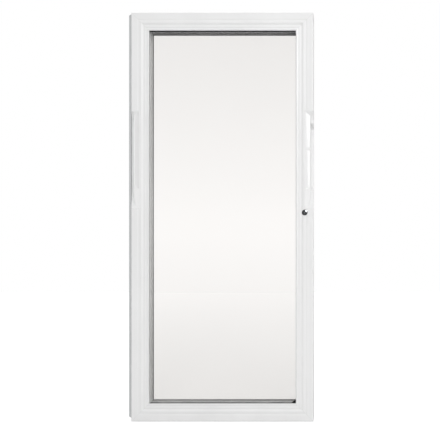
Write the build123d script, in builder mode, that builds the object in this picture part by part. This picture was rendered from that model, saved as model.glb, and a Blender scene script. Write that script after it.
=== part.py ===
"""Glass door leaf of an upright reach-in cooler.

A mitred white frame of hollow stepped section holds a double-glazed unit between
black glazing gaskets and grey retainers. Both stiles carry a moulded finger pull,
the latch stile carries a cam lock, and the hinge corner carries two pivot plates.
The origin lies on the underside of the bottom pivot plate. X runs to the right
and Y runs back, as seen by someone who stands before the door, and Z runs up.
"""

import os

from build123d import *

os.makedirs("parts", exist_ok=True)

# Door leaf
door_width = 602.0
door_height = 1350.0
frame_depth = 51.0

# Frame section, measured in from the outer edge and back from the front face
rail_face = 58.5
edge_radius = 2.5
dip_from_outside = 20.5
dip_run = 3.5
dip_depth = 0.7
roll_from_lip = 25.0
slope_end_from_lip = 18.5
slope_drop = 2.3
reed_from_lip = 12.0
reed_rise = 0.7
groove_from_lip = 8.7
groove_depth = 0.7
lip_flat = 0.5
lip_setback = 1.3
lip_cover = 12.5
lip_thick = 4.8
lip_radius = 3.0
outer_wall = 2.2
front_wall = 2.2
inner_wall = 4.8
web_from_back = 12.0
web_thick = 1.8

# Glazing, listed from the front to the back
glazing_gasket_thick = 2.0
glazing_gasket_recess = 0.6
head_gasket_show = 3.0
pane_thick = 4.0
spacer_thick = 14.0
spacer_height = 7.5
spacer_wall = 1.0
pane_edge_gap = 2.5
spacer_inset = 2.0
corner_wedge_length = 18.0
corner_wedge_height = 14.0

# Setting blocks under the glazed unit
setting_block_length = 60.0
setting_block_from_corner = 95.0

# Rear retainer and magnetic gasket
retainer_gap = 0.4
retainer_show = 1.5
retainer_wall = 1.8
retainer_back_wall = 7.2
tongue_from_back = 14.0
tongue_thick = 2.0
tongue_reach = 2.2
dart_thick = 2.4
dart_reach = 5.0
dart_from_retainer = 3.4
fit_gap = 0.2
gasket_base_width = 11.0
gasket_base_thick = 1.5
gasket_head_width = 9.0
gasket_head_depth = 9.5
gasket_wall = 1.2

# Grey strip along the outer edge of the hinge stile
strip_width = 7.0
strip_depth = 38.0
strip_setback = 1.5
strip_wall = 1.6
strip_top_gap = 5.5
strip_bottom_gap = 12.0
strip_end_slope = 4.0

# Finger pulls: a dish slopes to a beaded lip beside a cut that is open to the side
pull_above_lock = 16.0
pull_length = 318.0
pull_rim = 26.0
pull_lip = 9.0
pull_wall = 4.0
pull_gap = 0.1
dish_depth = 4.0
dish_bow = 0.6
dish_low = 62.0
dish_ramp = 16.0
lip_bead_width = 2.0
lip_bead_rise = 0.8
lip_tip_thick = 6.0
hook_reach = 16.0
hook_depth = 13.0
hook_round = 4.0
hook_ramp = 14.0
low_ramp = 50.0
low_step = 1.0
low_sweep = 10.0
sweep_bow = 2.2
high_ramp = 28.0
ramp_bow = 1.6
pull_rib_height = 196.0
pull_rib_width = 9.0
pull_rib_rise = 2.5

# Cam lock
lock_from_edge = 29.0
lock_height = 690.0
lock_head_diameter = 19.0
lock_head_thick = 2.6
lock_head_bevel = 0.8
lock_body_diameter = 16.0
lock_body_past_frame = 5.2
lock_plug_diameter = 11.0
plug_clearance = 0.05
keyway_length = 7.0
keyway_width = 1.6
keyway_depth = 9.0
lock_nut_across = 21.0
lock_nut_thick = 4.0
tail_width = 7.0
cam_gap = 0.8
cam_thick = 2.5
cam_width = 14.0
cam_reach = 36.0
cam_screw_diameter = 10.5
cam_screw_thick = 2.2

# Pivot plates of the hinge corner
pivot_from_edge = 20.0
pivot_to_origin = 16.0
plate_thick = 3.0
plate_length = 62.0
plate_width = 26.0
plate_end = 13.0
plate_corner = 3.0
socket_outer_diameter = 17.0
socket_depth = 26.0
socket_end_thick = 3.0
pivot_bore_diameter = 10.2
plate_screw_diameter = 4.6
plate_screw_head_diameter = 9.0
plate_screw_spacing = 18.0
plate_screw_from_end = 8.0
screw_pilot_diameter = 3.4

# Places worked out from the sizes
left_x = -pivot_to_origin - pivot_from_edge
right_x = left_x + door_width
bottom_z = plate_thick
top_z = bottom_z + door_height
front_y = -frame_depth / 2
middle_x = (left_x + right_x) / 2
middle_z = (bottom_z + top_z) / 2
body_face = rail_face - lip_cover
pane_edge = body_face + pane_edge_gap
glazing_from = lip_setback + lip_thick
outer_pane_from = glazing_from + glazing_gasket_thick
spacer_from = outer_pane_from + pane_thick
inner_pane_from = spacer_from + spacer_thick
retainer_from = inner_pane_from + pane_thick
retainer_edge = body_face + retainer_gap
retainer_reach = rail_face + retainer_show
tongue_from = frame_depth - tongue_from_back
dart_from = retainer_edge + dart_from_retainer
pull_low = bottom_z + lock_height + pull_above_lock
lip_back = dish_depth + lip_tip_thick
pull_block_width = pull_rim + pull_wall
left_pull_depth = lip_back + pull_wall
right_pull_depth = lip_back + hook_depth + pull_wall
cutter_margin = pull_wall
pivot_x = left_x + pivot_from_edge
lock_x = right_x - lock_from_edge
lock_z = bottom_z + lock_height

# Each side of the frame has a section plane: its x runs inward and its y runs back
SIDES = {
    "left": Plane(origin=(left_x, front_y, bottom_z), x_dir=(1, 0, 0), z_dir=(0, 0, 1)),
    "right": Plane(origin=(right_x, front_y, top_z), x_dir=(-1, 0, 0), z_dir=(0, 0, -1)),
    "top": Plane(origin=(left_x, front_y, top_z), x_dir=(0, 0, -1), z_dir=(1, 0, 0)),
    "bottom": Plane(origin=(right_x, front_y, bottom_z), x_dir=(0, 0, 1), z_dir=(-1, 0, 0)),
}
LENGTHS = {"left": door_height, "right": door_height, "top": door_width, "bottom": door_width}

# A wedge for each side leaves the mitred length of whatever runs along it
mitre_depth = 4 * frame_depth
mitre_reach = 2 * rail_face
MITRES = {}
for side, plane in SIDES.items():
    length = LENGTHS[side]
    corners = [(0, 0), (mitre_reach, mitre_reach), (mitre_reach, length - mitre_reach), (0, length)]
    inward, along = plane.x_dir, plane.z_dir
    points = [plane.origin + inward * u + along * w for u, w in corners]
    wedge_face = make_face(Polyline(*points, close=True))
    MITRES[side] = extrude(wedge_face, amount=mitre_depth, dir=(0, 1, 0), both=True)


def finish(part, name):
    """Labels a finished piece and writes it to its own file."""
    part.label = name
    export_step(part, f"parts/{name}.step")


def rectangle(left, front, wide, deep, mode=Mode.ADD):
    """Draws a rectangle of the section from its outer front corner."""
    with Locations((left, front)):
        Rectangle(wide, deep, align=(Align.MIN, Align.MIN), mode=mode)


def frame_section():
    """Draws the hollow frame section with its stepped front and its covering lip."""
    reed_drop = slope_drop - reed_rise
    slot_reach = tongue_reach + fit_gap
    with BuildSketch() as section:
        with BuildLine():
            Polyline(
                (edge_radius, 0),
                (dip_from_outside, 0),
                (dip_from_outside + dip_run, dip_depth),
                (rail_face - roll_from_lip, 0),
                (rail_face - slope_end_from_lip, slope_drop),
                (rail_face - reed_from_lip, reed_drop),
                (rail_face - groove_from_lip, reed_drop + groove_depth),
                (rail_face - lip_radius - lip_flat, lip_setback),
                (rail_face - lip_radius, lip_setback),
            )
            CenterArc((rail_face - lip_radius, lip_setback + lip_radius), lip_radius, -90, 90)
            Polyline(
                (rail_face, lip_setback + lip_radius),
                (rail_face, glazing_from),
                (body_face, glazing_from),
                (body_face, tongue_from - fit_gap),
                (body_face - slot_reach, tongue_from - fit_gap),
                (body_face - slot_reach, tongue_from + tongue_thick + fit_gap),
                (body_face, tongue_from + tongue_thick + fit_gap),
                (body_face, frame_depth),
                (0, frame_depth),
                (0, edge_radius),
            )
            CenterArc((edge_radius, edge_radius), edge_radius, 180, 90)
        make_face()
        chamber_width = body_face - outer_wall - inner_wall
        chamber_from = slope_drop + front_wall
        web = frame_depth - web_from_back
        rectangle(outer_wall, chamber_from, chamber_width, web - chamber_from, Mode.SUBTRACT)
        rear_chamber = frame_depth - outer_wall - web - web_thick
        rectangle(outer_wall, web + web_thick, chamber_width, rear_chamber, Mode.SUBTRACT)
    return section.sketch


def glazing_gasket_section(show):
    """Draws the strip that seals the lip to the outer pane and shows past the lip."""
    with BuildSketch() as section:
        rectangle(pane_edge, glazing_from, lip_cover - pane_edge_gap + show, glazing_gasket_thick)
    return section.sketch


def spacer_section():
    """Draws the hollow bar that holds the two panes apart."""
    edge = pane_edge + spacer_inset
    hollow_height = spacer_height - 2 * spacer_wall
    hollow_thick = spacer_thick - 2 * spacer_wall
    with BuildSketch() as section:
        rectangle(edge, spacer_from, spacer_height, spacer_thick)
        rectangle(edge + spacer_wall, spacer_from + spacer_wall, hollow_height, hollow_thick, Mode.SUBTRACT)
    return section.sketch


def retainer_section():
    """Draws the hollow retainer with its tongue and the slot for the gasket's dart."""
    width = retainer_reach - retainer_edge
    depth = frame_depth - retainer_from
    tongue_edge = body_face - tongue_reach
    hollow_depth = depth - retainer_wall - retainer_back_wall
    slot_depth = dart_reach + fit_gap
    with BuildSketch() as section:
        rectangle(retainer_edge, retainer_from, width, depth)
        rectangle(tongue_edge, tongue_from, retainer_edge - tongue_edge, tongue_thick)
        rectangle(
            retainer_edge + retainer_wall,
            retainer_from + retainer_wall,
            width - 2 * retainer_wall,
            hollow_depth,
            Mode.SUBTRACT,
        )
        slot_width = dart_thick + 2 * fit_gap
        rectangle(dart_from - fit_gap, frame_depth - slot_depth, slot_width, slot_depth, Mode.SUBTRACT)
    return section.sketch


def magnetic_gasket_section():
    """Draws the magnetic gasket: a dart, a base flange and a hollow head."""
    middle = dart_from + dart_thick / 2
    head_edge = middle - gasket_head_width / 2
    head_from = frame_depth + gasket_base_thick
    hollow_width = gasket_head_width - 2 * gasket_wall
    hollow_depth = gasket_head_depth - gasket_wall
    with BuildSketch() as section:
        rectangle(dart_from, frame_depth - dart_reach, dart_thick, dart_reach)
        rectangle(middle - gasket_base_width / 2, frame_depth, gasket_base_width, gasket_base_thick)
        rectangle(head_edge, head_from, gasket_head_width, gasket_head_depth)
        rectangle(head_edge + gasket_wall, head_from, hollow_width, hollow_depth, Mode.SUBTRACT)
    return section.sketch


def pull_block(depth, gap):
    """Makes the left-hand block that a finger pull fills, grown by a gap on its inner sides."""
    size = (pull_block_width + gap, depth + gap)
    with BuildPart() as block:
        with BuildSketch(Plane.XY.offset(pull_low - pull_wall - gap)):
            rectangle(left_x, front_y, *size)
            front_vertices = vertices().group_by(Axis.Y)[0]
            fillet(front_vertices.sort_by(Axis.X)[0], edge_radius)
        extrude(amount=pull_length + 2 * (pull_wall + gap))
    return block.part


def ramped_block(depth, low, high, ramp, step):
    """Makes the block that gives a finger pull's cut its floor and its ramped ends.

    The cut runs from the low to the high height, and its lower ramp starts with a step.
    """
    ramp_foot = (left_x - cutter_margin, front_y, pull_low)
    low_middle = ((depth + step) / 2 + ramp_bow, low + ramp / 2)
    high_middle = (depth / 2 + ramp_bow, high - high_ramp / 2)
    with BuildPart() as block:
        with BuildSketch(Plane(origin=ramp_foot, x_dir=(0, 1, 0), z_dir=(1, 0, 0))):
            with BuildLine():
                ThreePointArc((step, low), low_middle, (depth, low + ramp))
                Line((depth, low + ramp), (depth, high - high_ramp))
                ThreePointArc((depth, high - high_ramp), high_middle, (0, high))
                Polyline((0, high), (-cutter_margin, high), (-cutter_margin, low), (step, low))
            make_face()
        extrude(amount=pull_rim + 2 * cutter_margin)
    return block.part


def lock_plane(depth):
    """Gives the plane across the lock at a depth behind the front face."""
    return Plane(origin=(lock_x, front_y + depth, lock_z), x_dir=(1, 0, 0), z_dir=(0, 1, 0))


# Frame members
MIDDLE = Plane.YZ.offset(middle_x)
left_pocket = pull_block(left_pull_depth, pull_gap)
right_pocket = mirror(pull_block(right_pull_depth, pull_gap), about=MIDDLE)
socket_height = socket_depth - plate_thick + socket_end_thick + fit_gap
socket_hole_radius = socket_outer_diameter / 2 + fit_gap

with BuildPart() as frame_left_stile:
    with BuildSketch(SIDES["left"]):
        add(frame_section())
    extrude(amount=door_height)
    add(MITRES["left"], mode=Mode.INTERSECT)
    add(left_pocket, mode=Mode.SUBTRACT)
finish(frame_left_stile.part, "frame_left_stile")

with BuildPart() as frame_right_stile:
    with BuildSketch(SIDES["right"]):
        add(frame_section())
    extrude(amount=door_height)
    add(MITRES["right"], mode=Mode.INTERSECT)
    add(right_pocket, mode=Mode.SUBTRACT)
    with BuildSketch(lock_plane(0)):
        Circle(lock_body_diameter / 2 + fit_gap)
    extrude(amount=frame_depth, mode=Mode.SUBTRACT)
finish(frame_right_stile.part, "frame_right_stile")

plate_middle_x = pivot_x - plate_end + plate_length / 2
last_screw_x = pivot_x - plate_end + plate_length - plate_screw_from_end
screw_places = [(last_screw_x - plate_screw_spacing, 0), (last_screw_x, 0)]

with BuildPart() as frame_top_rail:
    with BuildSketch(SIDES["top"]):
        add(frame_section())
    extrude(amount=door_width)
    add(MITRES["top"], mode=Mode.INTERSECT)
    with BuildSketch(Plane.XY.offset(top_z)):
        with Locations((pivot_x, 0)):
            Circle(socket_hole_radius)
    extrude(amount=-socket_height, mode=Mode.SUBTRACT)
    with BuildSketch(Plane.XY.offset(top_z)):
        with Locations(*screw_places):
            Circle(screw_pilot_diameter / 2)
    extrude(amount=-outer_wall, mode=Mode.SUBTRACT)
finish(frame_top_rail.part, "frame_top_rail")

with BuildPart() as frame_bottom_rail:
    with BuildSketch(SIDES["bottom"]):
        add(frame_section())
    extrude(amount=door_width)
    add(MITRES["bottom"], mode=Mode.INTERSECT)
    with BuildSketch(Plane.XY.offset(bottom_z)):
        with Locations((pivot_x, 0)):
            Circle(socket_hole_radius)
    extrude(amount=socket_height, mode=Mode.SUBTRACT)
    with BuildSketch(Plane.XY.offset(bottom_z)):
        with Locations(*screw_places):
            Circle(screw_pilot_diameter / 2)
    extrude(amount=outer_wall, mode=Mode.SUBTRACT)
finish(frame_bottom_rail.part, "frame_bottom_rail")

# Glazed unit
for pane_name, pane_from in (("outer_pane", outer_pane_from), ("inner_pane", inner_pane_from)):
    pane_middle = (middle_x, front_y + pane_from, middle_z)
    with BuildPart() as pane:
        with BuildSketch(Plane(origin=pane_middle, x_dir=(1, 0, 0), z_dir=(0, 1, 0))):
            Rectangle(door_width - 2 * pane_edge, door_height - 2 * pane_edge)
        extrude(amount=pane_thick)
    finish(pane.part, pane_name)

for side, plane in SIDES.items():
    gasket_show = head_gasket_show if side == "top" else -glazing_gasket_recess
    with BuildPart() as spacer:
        with BuildSketch(plane):
            add(spacer_section())
        extrude(amount=LENGTHS[side])
        add(MITRES[side], mode=Mode.INTERSECT)
    finish(spacer.part, f"spacer_{side}")

    with BuildPart() as glazing_gasket:
        with BuildSketch(plane):
            add(glazing_gasket_section(gasket_show))
        extrude(amount=LENGTHS[side])
        add(MITRES[side], mode=Mode.INTERSECT)
    finish(glazing_gasket.part, f"glazing_gasket_{side}")

    with BuildPart() as retainer:
        with BuildSketch(plane):
            add(retainer_section())
        extrude(amount=LENGTHS[side])
        add(MITRES[side], mode=Mode.INTERSECT)
    finish(retainer.part, f"retainer_{side}")

    with BuildPart() as magnetic_gasket:
        with BuildSketch(plane):
            add(magnetic_gasket_section())
        extrude(amount=LENGTHS[side])
        add(MITRES[side], mode=Mode.INTERSECT)
    finish(magnetic_gasket.part, f"magnetic_gasket_{side}")

# Rubber gusset that fills the lower latch corner between the lip and the outer pane
wedge_edge_x = right_x - rail_face + glazing_gasket_recess
wedge_edge_z = bottom_z + rail_face - glazing_gasket_recess
wedge_corner = (wedge_edge_x, front_y + glazing_from, wedge_edge_z)
with BuildPart() as corner_wedge:
    with BuildSketch(Plane(origin=wedge_corner, x_dir=(-1, 0, 0), z_dir=(0, 1, 0))):
        with BuildLine():
            Polyline((0, 0), (corner_wedge_length, 0), (0, corner_wedge_height), close=True)
        make_face()
    extrude(amount=glazing_gasket_thick)
finish(corner_wedge.part, "corner_wedge")

# Setting blocks that carry the glazed unit in the bottom rail
block_offset = door_width / 2 - setting_block_from_corner
for block_name, block_x in (("left", middle_x - block_offset), ("right", middle_x + block_offset)):
    block_plane = Plane.XY.offset(bottom_z + body_face)
    block_depth = retainer_from - outer_pane_from
    with BuildPart() as setting_block:
        with BuildSketch(block_plane):
            with Locations((block_x, front_y + outer_pane_from)):
                Rectangle(setting_block_length, block_depth, align=(Align.CENTER, Align.MIN))
        extrude(amount=pane_edge_gap)
    finish(setting_block.part, f"setting_block_{block_name}")

# Grey edge strip with sloped ends
strip_foot = (left_x, front_y + strip_setback, bottom_z)
strip_low = strip_bottom_gap
strip_high = door_height - strip_top_gap
with BuildPart() as hinge_edge_strip:
    with BuildSketch(Plane(origin=strip_foot, x_dir=(-1, 0, 0), z_dir=(0, 1, 0))):
        with BuildLine():
            Polyline(
                (0, strip_low),
                (strip_width, strip_low + strip_end_slope),
                (strip_width, strip_high - strip_end_slope),
                (0, strip_high),
                close=True,
            )
        make_face()
    extrude(amount=strip_depth)
    hollow_middle = (left_x - strip_width / 2, front_y + strip_setback + strip_depth / 2)
    with BuildSketch(Plane.XY.offset(bottom_z)):
        with Locations(hollow_middle):
            Rectangle(strip_width - 2 * strip_wall, strip_depth - 2 * strip_wall)
    extrude(amount=door_height, mode=Mode.SUBTRACT)
finish(hinge_edge_strip.part, "hinge_edge_strip")

# Finger pulls
bead_foot = pull_lip + lip_bead_width
dish_mid = ((pull_rim + bead_foot) / 2, dish_depth / 2 + dish_bow)
with BuildPart() as dish_tool:
    with BuildSketch(Plane(origin=(left_x, front_y, pull_low))):
        with BuildLine():
            ThreePointArc((pull_rim, 0), dish_mid, (bead_foot, dish_depth))
            Polyline(
                (bead_foot, dish_depth),
                (pull_lip, dish_depth - lip_bead_rise),
                (pull_lip, -cutter_margin),
                (pull_rim, -cutter_margin),
                (pull_rim, 0),
            )
        make_face()
    extrude(amount=pull_length)
    add(ramped_block(dish_depth, dish_low, pull_length, dish_ramp, 0), mode=Mode.INTERSECT)

cut_foot = (left_x, front_y + lip_back, pull_low)
sweep_middle = (pull_lip + low_sweep / 2 - sweep_bow, low_ramp / 2)
with BuildPart() as side_cut_tool:
    with BuildSketch(Plane(origin=cut_foot, x_dir=(1, 0, 0), z_dir=(0, -1, 0))):
        with BuildLine():
            ThreePointArc((pull_lip + low_sweep, 0), sweep_middle, (pull_lip, low_ramp))
            Polyline(
                (pull_lip, low_ramp),
                (pull_lip, pull_length),
                (-cutter_margin, pull_length),
                (-cutter_margin, 0),
                (pull_lip + low_sweep, 0),
            )
        make_face()
    extrude(amount=lip_back + cutter_margin)
    add(ramped_block(lip_back, 0, pull_length, low_ramp, low_step), mode=Mode.INTERSECT)

hook_high = pull_length - high_ramp
with BuildPart() as hook_tool:
    with BuildSketch(Plane.XY.offset(pull_low)):
        rectangle(left_x, front_y + lip_back, hook_reach, hook_depth)
        fillet(vertices().group_by(Axis.X)[-1], hook_round)
    extrude(amount=pull_length)
    add(ramped_block(lip_back + hook_depth, low_ramp, hook_high, hook_ramp, 0), mode=Mode.INTERSECT)

with BuildPart() as left_pull:
    add(pull_block(left_pull_depth, 0))
    add(dish_tool.part, mode=Mode.SUBTRACT)
    add(side_cut_tool.part, mode=Mode.SUBTRACT)
finish(left_pull.part, "left_pull")

rib_middle = (right_x, front_y, pull_low + pull_rib_height)
with BuildPart() as right_pull:
    add(mirror(pull_block(right_pull_depth, 0), about=MIDDLE))
    add(mirror(dish_tool.part, about=MIDDLE), mode=Mode.SUBTRACT)
    add(mirror(side_cut_tool.part, about=MIDDLE), mode=Mode.SUBTRACT)
    add(mirror(hook_tool.part, about=MIDDLE), mode=Mode.SUBTRACT)
    with BuildSketch(Plane(origin=rib_middle, x_dir=(-1, 0, 0), z_dir=(0, 0, -1))):
        with BuildLine():
            Polyline(
                (pull_rim, 0),
                (pull_lip, dish_depth - pull_rib_rise),
                (pull_lip, lip_back),
                (pull_rim, lip_back),
                close=True,
            )
        make_face()
    extrude(amount=pull_rib_width / 2, both=True)
finish(right_pull.part, "right_pull")

# Cam lock
with BuildPart() as lock_barrel:
    with BuildSketch(lock_plane(-lock_head_thick)):
        Circle(lock_head_diameter / 2)
    extrude(amount=lock_head_thick)
    head_rim = lock_barrel.edges().filter_by(GeomType.CIRCLE).sort_by(Axis.Y)[0]
    chamfer(head_rim, length=lock_head_bevel)
    with BuildSketch(lock_plane(0)):
        Circle(lock_body_diameter / 2)
    extrude(amount=frame_depth + lock_body_past_frame)
    with BuildSketch(lock_plane(-lock_head_thick)):
        Circle(lock_plug_diameter / 2)
    extrude(amount=lock_head_thick + frame_depth + lock_body_past_frame, mode=Mode.SUBTRACT)
finish(lock_barrel.part, "lock_barrel")

with BuildPart() as lock_nut:
    with BuildSketch(lock_plane(frame_depth)):
        RegularPolygon(lock_nut_across / 2, 6, major_radius=False)
        Circle(lock_body_diameter / 2, mode=Mode.SUBTRACT)
    extrude(amount=lock_nut_thick)
finish(lock_nut.part, "lock_nut")

cam_from = frame_depth + lock_body_past_frame + cam_gap
with BuildPart() as lock_plug:
    with BuildSketch(lock_plane(-lock_head_thick)):
        Circle(lock_plug_diameter / 2 - plug_clearance)
    extrude(amount=cam_from + lock_head_thick)
    with BuildSketch(lock_plane(-lock_head_thick)):
        Rectangle(keyway_width, keyway_length)
    extrude(amount=keyway_depth, mode=Mode.SUBTRACT)
    with BuildSketch(lock_plane(cam_from)):
        Rectangle(tail_width, tail_width)
    extrude(amount=cam_thick)
finish(lock_plug.part, "lock_plug")

with BuildPart() as lock_cam:
    with BuildSketch(lock_plane(cam_from)):
        Circle(cam_width / 2)
        with Locations((0, (cam_reach - cam_width / 2) / 2)):
            Rectangle(cam_width, cam_reach - cam_width / 2)
        with Locations((0, cam_reach - cam_width / 2)):
            Circle(cam_width / 2)
        Rectangle(tail_width, tail_width, mode=Mode.SUBTRACT)
    extrude(amount=cam_thick)
finish(lock_cam.part, "lock_cam")

with BuildPart() as cam_screw:
    with BuildSketch(lock_plane(cam_from + cam_thick)):
        Circle(cam_screw_diameter / 2)
    extrude(amount=cam_screw_thick)
    screw_rim = cam_screw.edges().filter_by(GeomType.CIRCLE).sort_by(Axis.Y)[-1]
    chamfer(screw_rim, length=cam_screw_thick / 4)
finish(cam_screw.part, "cam_screw")

# Pivot plates: the same piece below and, turned over, above the hinge corner
for plate_name, face_z, inward in (("bottom", 0.0, 1), ("top", top_z + plate_thick, -1)):
    face_plane = Plane.XY.offset(face_z)
    with BuildPart() as pivot_plate:
        with BuildSketch(face_plane):
            with Locations((plate_middle_x, 0)):
                RectangleRounded(plate_length, plate_width, plate_corner)
        extrude(amount=inward * plate_thick)
        with BuildSketch(face_plane):
            with Locations((pivot_x, 0)):
                Circle(socket_outer_diameter / 2)
        extrude(amount=inward * (socket_depth + socket_end_thick))
        with BuildSketch(face_plane):
            with Locations((pivot_x, 0)):
                Circle(pivot_bore_diameter / 2)
        extrude(amount=inward * socket_depth, mode=Mode.SUBTRACT)
        with BuildSketch(face_plane):
            with Locations(*screw_places):
                Circle(plate_screw_diameter / 2)
        extrude(amount=inward * plate_thick, mode=Mode.SUBTRACT)
        sink_depth = (plate_screw_head_diameter - plate_screw_diameter) / 2
        screw_rims = pivot_plate.edges().filter_by(GeomType.CIRCLE)
        screw_rims = screw_rims.filter_by(lambda e: abs(e.radius - plate_screw_diameter / 2) < 0.01)
        screw_rims = screw_rims.filter_by(lambda e: abs(e.center().Z - face_z) < 0.01)
        chamfer(screw_rims, length=sink_depth)
    finish(pivot_plate.part, f"pivot_plate_{plate_name}")
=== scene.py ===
"""Looks of a cooler's glass door leaf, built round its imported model.

The leaf is a mitred frame of white vinyl extrusion that holds a double-glazed unit.
Both stiles carry a moulded finger pull, the latch stile carries a chromed cam lock,
and a soft magnetic seal runs round the back. The door's lengths are in millimetres, and
those of the studio and its lamps are in metres. X runs to the right, Y runs back and Z
runs up, from the foot of the bottom pivot plate.
"""

import logging
import math
from contextlib import contextmanager
from dataclasses import dataclass
from enum import Enum
from functools import lru_cache
from itertools import cycle, pairwise
from typing import Callable, Iterator, Sequence

import bmesh
import bpy
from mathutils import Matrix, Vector


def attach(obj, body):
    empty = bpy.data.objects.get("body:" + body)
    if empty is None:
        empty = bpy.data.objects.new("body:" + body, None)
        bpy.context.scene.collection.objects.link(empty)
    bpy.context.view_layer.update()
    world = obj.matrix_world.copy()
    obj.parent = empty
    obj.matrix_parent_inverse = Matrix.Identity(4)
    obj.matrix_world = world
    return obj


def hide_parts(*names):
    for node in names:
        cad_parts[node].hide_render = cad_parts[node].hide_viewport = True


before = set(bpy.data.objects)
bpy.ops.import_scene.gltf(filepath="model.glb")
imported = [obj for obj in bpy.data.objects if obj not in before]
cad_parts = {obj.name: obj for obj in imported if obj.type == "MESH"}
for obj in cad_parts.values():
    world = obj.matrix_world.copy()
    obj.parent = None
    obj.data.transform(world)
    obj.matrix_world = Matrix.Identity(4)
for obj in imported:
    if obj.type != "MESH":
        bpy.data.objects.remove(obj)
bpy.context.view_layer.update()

log = logging.getLogger("cooler_door")

Point = tuple[float, float, float]
Span = tuple[float, float]
Ring = tuple[Span, ...]
Tree = bpy.types.NodeTree
Node = bpy.types.Node
Socket = bpy.types.NodeSocket

METRE = 1000.0
SMOOTH_ANGLE = math.radians(38)
# Turns what is made lying down so that its face looks to the front
UPRIGHT = (math.pi / 2, 0, 0)
# Share of its normal along an axis from which a face counts as looking that way
FACING = 0.9
# Glossy depth above which a ray has been mirrored
MIRRORED = 0.5
# The curve that turns an sRGB value to a linear one
SRGB_TOE, SRGB_TOE_SLOPE, SRGB_OFFSET, SRGB_POWER = 0.04045, 12.92, 0.055, 2.4


def mm(*lengths: float) -> float | tuple[float, ...]:
    """Turns millimetres to metres, one length or several."""
    metres = tuple(length / METRE for length in lengths)
    return metres if len(metres) > 1 else metres[0]


def linear(colour: str) -> tuple[float, float, float, float]:
    """Turns an sRGB hex colour to Blender's linear colour.

    Args:
        colour: Six hex digits after a hash sign.

    Returns:
        Red, green, blue and an alpha of 1.
    """
    shares = [int(colour[start : start + 2], 16) / 255 for start in (1, 3, 5)]
    curve = [((share + SRGB_OFFSET) / (1 + SRGB_OFFSET)) ** SRGB_POWER for share in shares]
    toe = [share / SRGB_TOE_SLOPE for share in shares]
    return (*(t if s <= SRGB_TOE else c for s, t, c in zip(shares, toe, curve)), 1.0)


class Part(Enum):
    """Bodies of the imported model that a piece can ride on."""

    LEAF = "leaf"
    LOCK = "lock"


class Grain(Enum):
    """Direction in which a length was drawn through its die."""

    UPRIGHT = "Z"
    LEVEL = "X"


class ScrewHead(Enum):
    """Heads of the screws on the door."""

    COUNTERSUNK = "countersunk"
    PAN = "pan"


@dataclass(frozen=True)
class Leaf:
    """Outline of the door leaf and the sizes that several of its parts share."""

    left: float = -36.0
    right: float = 566.0
    bottom: float = 3.0
    top: float = 1353.0
    front: float = -25.5
    back: float = 25.5
    rail_face: float = 58.5

    @property
    def middle(self) -> Span:
        """Gives the middle of the leaf as seen from the front."""
        return (self.left + self.right) / 2, (self.bottom + self.top) / 2

    def width_at(self, inset: float) -> float:
        """Gives the width between two lines that lie that far inside the outer edges."""
        return self.right - self.left - 2 * inset

    def height_at(self, inset: float) -> float:
        """Gives the height between two lines that lie that far inside the outer edges."""
        return self.top - self.bottom - 2 * inset


LEAF = Leaf()

# Sockets of Blender's Mix node: the share, both colours and the mixed colour, and both plain levels
MIX_SHARE, MIX_LOW, MIX_HIGH, MIX_RESULT = 0, 6, 7, 2
MIX_LOW_LEVEL, MIX_HIGH_LEVEL = 2, 3
# Noises whose grains are one pattern step wide, from even waves to fine mottling
WAVES, STREAKS, CLOUDS, MOTTLING = ({"Scale": 1.0, "Detail": fine} for fine in (1.0, 2.0, 3.0, 4.0))


def add_node(tree: Tree, kind: str, inputs: dict | tuple = (), **settings: object) -> Node:
    """Adds one node with its settings, its plain input values and its incoming links.

    Args:
        tree: Node tree that gets the node.
        kind: Name of the node's type, without the prefix that all shader nodes have.
        inputs: Plain values and sockets, in the order of the node's inputs or by name or number.
        **settings: Attributes of the node itself.

    Returns:
        The new node.
    """
    node = tree.nodes.new("ShaderNode" + kind)
    for name, value in settings.items():
        setattr(node, name, value)
    for name, source in (inputs if isinstance(inputs, dict) else dict(enumerate(inputs))).items():
        if isinstance(source, Socket):
            tree.links.new(source, node.inputs[name])
        else:
            node.inputs[name].default_value = source
    return node


@dataclass(frozen=True)
class Finish:
    """What every surface has: a name, a colour and how glossy it is."""

    name: str
    colour: str
    roughness: float

    def material(self) -> bpy.types.Material:
        """Builds the material with one shader and lets the finish work on it.

        Returns:
            The new material.
        """
        material = bpy.data.materials.new(self.name)
        material.use_nodes = True
        tree = material.node_tree
        tree.nodes.clear()
        plain = {"Base Color": linear(self.colour), "Roughness": self.roughness}
        shader = add_node(tree, "BsdfPrincipled", plain)
        output = add_node(tree, "OutputMaterial", {"Surface": shader.outputs["BSDF"]})
        self.work(tree, shader, output)
        return material

    def work(self, tree: Tree, shader: Node, output: Node) -> None:
        """Adds the pattern, grain and marks of the finish. The plain finish has none."""

    def place(self, tree: Tree, size: Point = (1.0, 1.0, 1.0)) -> Socket:
        """Gives the object's own coordinates, counted in pattern steps.

        Args:
            tree: Node tree that gets the nodes.
            size: Length of one step along X, Y and Z in millimetres.

        Returns:
            The socket with the coordinates.
        """
        where = add_node(tree, "TexCoord").outputs["Object"]
        steps = [METRE / length for length in size]
        return add_node(tree, "Mapping", {"Scale": steps, "Vector": where}).outputs["Vector"]

    def cover(self, tree: Tree, shader: Node, colour: Socket, height: Socket, deep: float) -> None:
        """Gives the shader its worked colour and raises its surface by a height pattern.

        Args:
            tree: Node tree of the material.
            shader: The material's shader.
            colour: Socket with the colour.
            height: Socket with heights from 0 to 1.
            deep: Real height of the pattern in millimetres.
        """
        relief = add_node(tree, "Bump", {"Strength": 1.0, "Distance": mm(deep), "Height": height})
        tree.links.new(colour, shader.inputs["Base Color"])
        tree.links.new(relief.outputs["Normal"], shader.inputs["Normal"])


@lru_cache(maxsize=None)
def material_of(finish: Finish) -> bpy.types.Material:
    """Gives the one material of a finish, made when it is first asked for."""
    return finish.material()


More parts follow.
